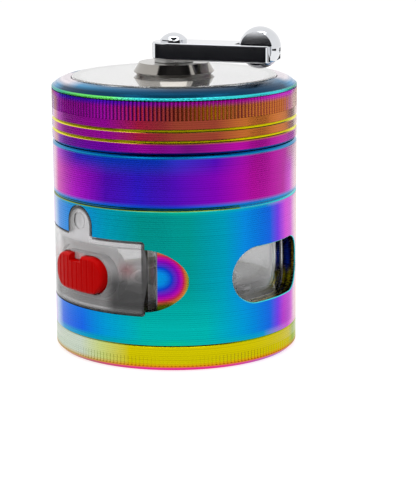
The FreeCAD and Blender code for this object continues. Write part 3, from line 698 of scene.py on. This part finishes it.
# %% Lid
lid_plate = plated("lid_plate", lid_side, [
    ([("Height", 50.0, 55.1, 0.8)], "Turn", edge_blues),
    ([("Height", 54.6, 56.7, 0.6)], "Turn", under_grooves),
    ([("Height", 56.0, 61.5, 0.2), BELOW_SKIN], "Turn", groove_walls),
    ([("Height", 56.5, 57.1, 0.1), BELOW_SKIN], "Turn", groove_foot),
    ([("Height", 59.2, 59.8, 0.1), BELOW_SKIN], "Turn", groove_foot),
    ([("Height", 57.3, 58.0, 0.1), BELOW_SKIN], "Turn", groove_brow),
    ([("Height", 60.0, 60.7, 0.1), BELOW_SKIN], "Turn", groove_brow),
    ([("Height", 61.5, 67.0, 0.2), ("Radius", 0.0, 31.36, 0.1)], "Turn", rib_gaps),
    ([("Height", 66.2, 75.0, 1.6)], "Turn", rib_tops),
    ([("Height", 67.1, 75.0, 0.15)], "Turn", crown_shadow),
    ([("Height", 67.4, 75.0, 0.2)], "Turn", crown_line),
    ([("Height", 68.05, 75.0, 0.2)], "Turn", crown_side),
    ([("Height", 69.2, 75.0, 0.9)], "Turn", crown_top),
])
wear(lid_plate, "lid_ring")
print("lid plated")

# %% [markdown]
# ## Base
# The shallow cup at the bottom is yellow, with a painted pale green highlight on its side towards the
# drawer, and its foot glows orange and cerise. That rim could be left to the light from the floor, but
# a white floor gives none of it, so two narrow bands by height paint it.

# %% Base
# The pale green near both ends of base_side is a painted highlight
base_side = [(0.0, HIGHLIGHT_GREEN), (0.22, HIGHLIGHT_GREEN), (0.30, STRAW), (0.38, YELLOW), (0.87, YELLOW),
             (0.91, LEAF), (0.95, STRAW), (1.0, HIGHLIGHT_GREEN)]
foot_glow = [(0.0, AMBER), (0.25, AMBER), (0.4, TANGERINE), (0.8, TANGERINE), (1.0, AMBER)]
foot_line = [(0.0, AMBER), (0.25, WINE), (0.42, CERISE), (0.65, CERISE), (0.8, ORCHID), (0.93, CERISE),
             (1.0, AMBER)]
base_plate = plated("base_plate", base_side, [
    ([("Height", -1.0, 1.3, 1.6)], "Turn", foot_glow),
    ([("Height", -1.0, 0.8, 0.4)], "Turn", foot_line),
], thread=[("Height", 6.4, 11.1, 0.2), ON_COLLAR])
wear(base_plate, "base_cup")
print("base plated")

# %% [markdown]
# ## Chrome, nickel and steel
# The crank and its screw are chromed, and the hub is nickel with a softer shine. The shaft, its
# washer and screw, the rings of the drawer and the spring are bare steel, the bush is brass and the
# rotor is bare cast alloy. One metal for all would look like a toy. They share one builder with a
# different colour and roughness each, plus the faint waviness that a cast part keeps under its
# plating.

# %% Bare metals
RIPPLE_DETAIL, RIPPLE_DEPTH = 4.0, 0.4
RIPPLE_DIM = 0.82
GLOSS_VARIES, GLOSS_LEAST = 0.6, 0.7


def dimmed(colour, share):
    """A share of a colour's light, with full alpha."""
    return tuple(c * share for c in colour[:3]) + (1.0,)


def bare_metal(name, colour, roughness, waviness, scale):
    """A metal with a cast or rolled surface."""
    material, tree, shader = new_finish(name, Metallic=1.0)
    ripple = place_group(tree, surface_grain, Scale=scale, Detail=RIPPLE_DETAIL)["Grain"]
    tone = blend_colour(tree, ripple, colour, dimmed(colour, RIPPLE_DIM))
    gloss = calc(tree, "MULTIPLY_ADD", ripple, roughness * GLOSS_VARIES, roughness * GLOSS_LEAST)
    tree.links.new(tone, shader.inputs["Base Color"])
    tree.links.new(gloss, shader.inputs["Roughness"])
    tree.links.new(bump(tree, ripple, waviness, RIPPLE_DEPTH), shader.inputs["Normal"])
    return material


chrome = bare_metal("chrome", linear(226, 228, 232), 0.04, 0.01, 90.0)
nickel = bare_metal("nickel", linear(168, 164, 158), 0.10, 0.03, 300.0)
steel = bare_metal("steel", linear(188, 188, 186), 0.30, 0.08, 600.0)
brass = bare_metal("brass", linear(196, 152, 72), 0.28, 0.08, 600.0)
tooth_alloy = bare_metal("tooth_alloy", linear(214, 214, 216), 0.34, 0.10, 500.0)
print("metals mixed")

# %% Metal pieces
wear(chrome, "crank_arm", "ball_knob", "knob_pin", "crank_screw")
wear(nickel, "hub_collar", "hub_nut")
wear(steel, "rotor_screw", "drive_shaft", "button_spring", "screen_ring", "floor_ring", "crank_washer")
wear(brass, "hub_bush")
wear(tooth_alloy, "rotor")
print("bare metals finished")

# %% [markdown]
# ## Clear plastics
# The sleeve behind the side windows and the disc in the lid are clear acrylic. Perfect glass could
# stand for it, but a moulding is never quite even, so a slow noise bends its surface a little. The
# disc has a hard coat and is a little less clear, and that gives it the bright glare of the real one.

# %% Clear plastics
ACRYLIC_IOR = 1.49
FLOW_SCALE, FLOW_DETAIL, FLOW_DEPTH = 130.0, 1.0, 0.3
COAT_ROUGHNESS = 0.02


def clear_plastic(name, tint, clearness, roughness, waviness, coat=0.0):
    """A clear moulding; a clearness under 1 makes it a little milky, a hard coat gives it more shine."""
    material, tree, shader = new_finish(
        name, Base_Color=tint, Transmission_Weight=clearness, IOR=ACRYLIC_IOR, Metallic=0.0,
        Coat_Weight=coat, Coat_Roughness=COAT_ROUGHNESS)
    flow = place_group(tree, surface_grain, Scale=FLOW_SCALE, Detail=FLOW_DETAIL)["Grain"]
    tree.links.new(calc(tree, "MULTIPLY", flow, roughness), shader.inputs["Roughness"])
    tree.links.new(bump(tree, flow, waviness, FLOW_DEPTH), shader.inputs["Normal"])
    return material


clear_acrylic = clear_plastic("clear_acrylic", (0.97, 0.975, 0.975, 1), 1.0, 0.06, 0.04)
glare_acrylic = clear_plastic("glare_acrylic", (0.98, 0.98, 0.97, 1), 0.90, 0.02, 0.01, coat=1.0)
wear(clear_acrylic, "window_sleeve")
wear(glare_acrylic, "top_window")
print("clear plastics finished")

# %% [markdown]
# ## Drawer tray
# The tray is milkier plastic: frosted behind the button, with painted shade towards its floor and
# along its edges, where thick acrylic looks dark, and with a painted red reflection of the button in
# its front. Bent light could give all of this by itself, but only with the real tray's flaws and wall
# sizes. So a short list of painted shades darkens the tint where the real tray looks dark.

# %% Where the tray gets painted shade, a painted red reflection and frost
inside = ("Radius", -1.0, 30.2, 0.4)
front = ("Radius", 30.3, 40.0, 0.1)
near_floor = ("Height", -1.0, 17.5, 5.0)
# Painted shade, each (tone, share, limits)
tray_shades = {
    "floor": (0.55, 1.0, [inside, near_floor]),
    "floor in front": (0.22, 1.0, [inside, near_floor, ("Front", 12.0, 40.0, 4.0)]),
    "side walls": (0.2, 0.7, [inside, ("Across", 16.2, 40.0, 0.4), ("Front", 22.0, 40.0, 1.0)]),
    "edge of the ear": (0.04, 1.0, [front, ("Ear", 3.9, 9.0, 0.5), ("Across", -1.0, 4.7, 0.1),
                                    ("Height", 32.6, 50.0, 0.3)]),
    "lower edge": (0.04, 1.0, [front, ("Height", -1.0, 14.4, 0.3)]),
    "upper edge": (0.10, 1.0, [front, ("Height", 31.95, 33.0, 0.2), ("Across", 4.8, 40.0, 0.2)]),
    "side edges": (0.06, 1.0, [front, ("Across", 17.8, 40.0, 0.2)]),
    "lower corners": (0.03, 0.95, [front, ("Height", 14.0, 23.6, 5.0), ("Across", 9.5, 19.4, 4.0)]),
}
# A painted red reflection of the button in the tray front beside it
beside_button = [front, ("Height", 23.8, 26.8, 3.2), ("Across", 12.8, 16.2, 3.2)]
behind_button = [inside, ("Across", -1.0, 10.6, 0.4), ("Front", 18.0, 40.0, 0.5)]
print(len(tray_shades), "shades in the tray")

# %% Drawer tray
TRAY_CLEARNESS, TRAY_TINT = 0.74, (0.98, 0.975, 0.98, 1)
EAR_MIDDLE = 35.15
LESS_GREEN = 0.96
RED_SHARE, RED_REFLECTION = 0.7, (0.6, 0.03, 0.06, 1)
FROST_SCALE, FROST_DEPTH, FROST_STRENGTH = 700.0, 0.2, 0.1
FROST_LEAST, FROST_VARIES, TRAY_POLISH = 0.4, 0.2, 0.03


def frosted_tray(name):
    """Milky plastic with painted shade and a painted red reflection in its tint."""
    material, tree, shader = new_finish(name, Transmission_Weight=TRAY_CLEARNESS, IOR=ACRYLIC_IOR,
                                        Metallic=0.0)
    where = dict(place_group(tree, ring_place).items())
    up_ear = calc(tree, "MAXIMUM", calc(tree, "SUBTRACT", where["Height"], EAR_MIDDLE), 0.0)
    square = calc(tree, "MULTIPLY", where["Across"], where["Across"])
    where["Ear"] = calc(tree, "SQRT", calc(tree, "MULTIPLY_ADD", up_ear, up_ear, square))
    tint = TRAY_TINT
    # Painted shade darkens the tint
    for tone, share, limits in tray_shades.values():
        mask = calc(tree, "MULTIPLY", within(tree, where, limits), share)
        tint = blend_colour(tree, mask, tint, (tone, tone * LESS_GREEN, tone, 1))
    # Painted red reflection of the button
    red_reflection = calc(tree, "MULTIPLY", within(tree, where, beside_button), RED_SHARE)
    tint = blend_colour(tree, red_reflection, tint, RED_REFLECTION)
    grain = place_group(tree, surface_grain, Scale=FROST_SCALE)["Grain"]
    boss = within(tree, where, behind_button)
    frost = calc(tree, "MULTIPLY", boss, calc(tree, "MULTIPLY_ADD", grain, FROST_VARIES, FROST_LEAST))
    relief = calc(tree, "MULTIPLY", grain, boss)
    tree.links.new(tint, shader.inputs["Base Color"])
    tree.links.new(calc(tree, "ADD", frost, TRAY_POLISH), shader.inputs["Roughness"])
    tree.links.new(bump(tree, relief, FROST_STRENGTH, FROST_DEPTH), shader.inputs["Normal"])
    return material


wear(frosted_tray("frosted_tray"), "drawer_tray")
print("drawer tray finished")

# %% [markdown]
# ## Button, nylon and rubber
# The button is red plastic with upright ribs for the thumb, which the solid already has. Under the
# lid lie a nylon slip ring and a rubber gasket. A flat colour could do for such small pieces, but a
# fine speckle in colour, gloss and relief keeps them from looking like paper.

# %% Opaque plastics
SPECKLE_SCALE, SPECKLE_RELIEF, SPECKLE_STRENGTH = 900.0, 0.02, 0.6
SPECKLE_SHADE, SPECKLE_DIM, SPECKLE_ROUGH = 0.2, 0.55, 0.1
MOULD_SHINE = 0.06


def moulded(name, colour, roughness):
    """An opaque plastic or rubber with a fine speckle."""
    material, tree, shader = new_finish(name, Metallic=0.0, Specular_IOR_Level=MOULD_SHINE)
    speckle = place_group(tree, surface_grain, Scale=SPECKLE_SCALE)["Grain"]
    mask = calc(tree, "MULTIPLY", speckle, SPECKLE_SHADE)
    tone = blend_colour(tree, mask, colour, dimmed(colour, SPECKLE_DIM))
    gloss = calc(tree, "MULTIPLY_ADD", speckle, SPECKLE_ROUGH, roughness)
    relief = calc(tree, "MULTIPLY", speckle, SPECKLE_RELIEF)
    tree.links.new(tone, shader.inputs["Base Color"])
    tree.links.new(gloss, shader.inputs["Roughness"])
    tree.links.new(bump(tree, relief, SPECKLE_STRENGTH), shader.inputs["Normal"])
    return material


wear(moulded("red_plastic", linear(214, 0, 0), 0.3), "drawer_button")
wear(moulded("white_nylon", linear(228, 226, 220), 0.45), "slip_ring")
wear(moulded("black_rubber", linear(20, 20, 21), 0.7), "window_gasket")
print("button, slip ring and gasket finished")

# %% [markdown]
# ## Woven wire screen
# A round steel screen lies in the drawer floor and lets the powder through. Its weave could be holes
# in a finish, but seen close, with the drawer out, real wires catch the light. One wavy wire is a
# small ring of points that is extruded step by step. Wires of one direction pass over and under those
# of the other by half a wave, and each is cut to the width of the round screen where it lies.

# %% One wire
WIRE_PITCH = 0.0009
WIRE_RADIUS = 0.00011
WAVE_HEIGHT = 0.00009
WIRE_SIDES = 5
RIM_ROOM = 0.0002
low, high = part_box("mesh_screen")
middle = (low + high) / 2
screen_reach = (high.x - low.x) / 2 - RIM_ROOM
count = int(screen_reach / WIRE_PITCH)


def wavy_wire(over):
    """One wire along X that waves up and down, two steps to a pitch, over or under in the middle."""
    bm = bmesh.new()
    start = Matrix.Translation((-count * WIRE_PITCH, 0, 0)) @ Matrix.Rotation(math.pi / 2, 4, "Y")
    bmesh.ops.create_circle(bm, segments=WIRE_SIDES, radius=WIRE_RADIUS, matrix=start)
    ring = list(bm.edges)
    for _ in range(4 * count):
        grown = bmesh.ops.extrude_edge_only(bm, edges=ring)["geom"]
        tip = {part for part in grown if isinstance(part, bmesh.types.BMVert)}
        ring = [part for part in grown
                if isinstance(part, bmesh.types.BMEdge) and tip.issuperset(part.verts)]
        bmesh.ops.translate(bm, verts=list(tip), vec=(WIRE_PITCH / 2, 0, 0))
    for v in bm.verts:
        v.co.z += over * WAVE_HEIGHT * math.cos(math.pi * v.co.x / WIRE_PITCH)
    mesh = bpy.data.meshes.new("wavy_wire")
    bm.to_mesh(mesh)
    bm.free()
    return mesh


wires = [wavy_wire(1), wavy_wire(-1)]
print("wire faces", len(wires[0].polygons))


# %% Wire cut to length
def cut_to_length(mesh, half, place):
    """Trims a wire to a half length each way, closes its ends and sets it in its place."""
    bm = bmesh.new()
    bm.from_mesh(mesh)
    for side in (-1, 1):
        bmesh.ops.bisect_plane(bm, geom=[*bm.verts, *bm.edges, *bm.faces], plane_co=(side * half, 0, 0),
                               plane_no=(side, 0, 0), clear_outer=True)
    bmesh.ops.holes_fill(bm, edges=bm.edges, sides=WIRE_SIDES)
    bmesh.ops.transform(bm, verts=bm.verts, matrix=place)
    cut = bpy.data.meshes.new("cut_wire")
    bm.to_mesh(cut)
    bm.free()
    return cut


print("longest wire", round(2 * screen_reach / MM, 1), "mm")


# %% Screen
def outward_and_smooth(bm):
    """Faces that point outwards and shade smoothly."""
    bmesh.ops.recalc_face_normals(bm, faces=bm.faces)
    for face in bm.faces:
        face.smooth = True


bm = bmesh.new()
for heading in (0, 1):
    turned = Matrix.Rotation(heading * math.pi / 2, 4, "Z")
    for row in range(-count, count + 1):
        aside = row * WIRE_PITCH
        half = math.sqrt(screen_reach ** 2 - aside ** 2)
        place = turned @ Matrix.Translation((0, aside, 0))
        cut = cut_to_length(wires[(row + heading) % 2], half, place)
        bm.from_mesh(cut)
        bpy.data.meshes.remove(cut)
bmesh.ops.translate(bm, verts=bm.verts, vec=middle)
outward_and_smooth(bm)
woven_screen = object_from(bm, "woven_screen", steel)
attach(woven_screen, "drawer")
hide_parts("mesh_screen")
print("screen wires", 2 * (2 * count + 1), "faces", len(woven_screen.data.polygons))

# %% [markdown]
# ## Button spring
# A small coil spring pushes the button out again and gets shorter when the button goes in. It could
# stay as the solid it is, but here a coil of wire of the solid's size takes its place on the drawer.

# %% Coil
SPRING_WIRE = 0.00022
SPRING_TURNS = 3
STEPS_PER_TURN = 28
SPRING_SIDES = 8
low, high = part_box("button_spring")
middle = (low + high) / 2
coil_radius = (high.x - low.x) / 2 - SPRING_WIRE
coil_steps = SPRING_TURNS * STEPS_PER_TURN
step_along = (high.y - low.y - 2 * SPRING_WIRE) / coil_steps

bm = bmesh.new()
start = Matrix.Translation((middle.x + coil_radius, low.y + SPRING_WIRE, middle.z))
bmesh.ops.create_circle(bm, segments=SPRING_SIDES, radius=SPRING_WIRE, matrix=start)
bmesh.ops.spin(bm, geom=[*bm.verts, *bm.edges], cent=middle, axis=(0, -1, 0), dvec=(0, step_along, 0),
               angle=math.tau * SPRING_TURNS, steps=coil_steps)
bmesh.ops.holes_fill(bm, edges=bm.edges, sides=SPRING_SIDES)
outward_and_smooth(bm)
button_coil = object_from(bm, "button_coil", steel)
print("coil faces", len(button_coil.data.polygons))

# %% Coil on the drawer
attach(button_coil, "drawer")
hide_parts("button_spring")

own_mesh(button_coil)

# %% [markdown]
# ## Nodes without a finish
# The nodes that were left without a finish are listed.

# %% Nodes without a finish
bare = [name for name, node in nodes.items() if not node.data.materials or not node.data.materials[0]]
print("nodes without a finish:", bare)
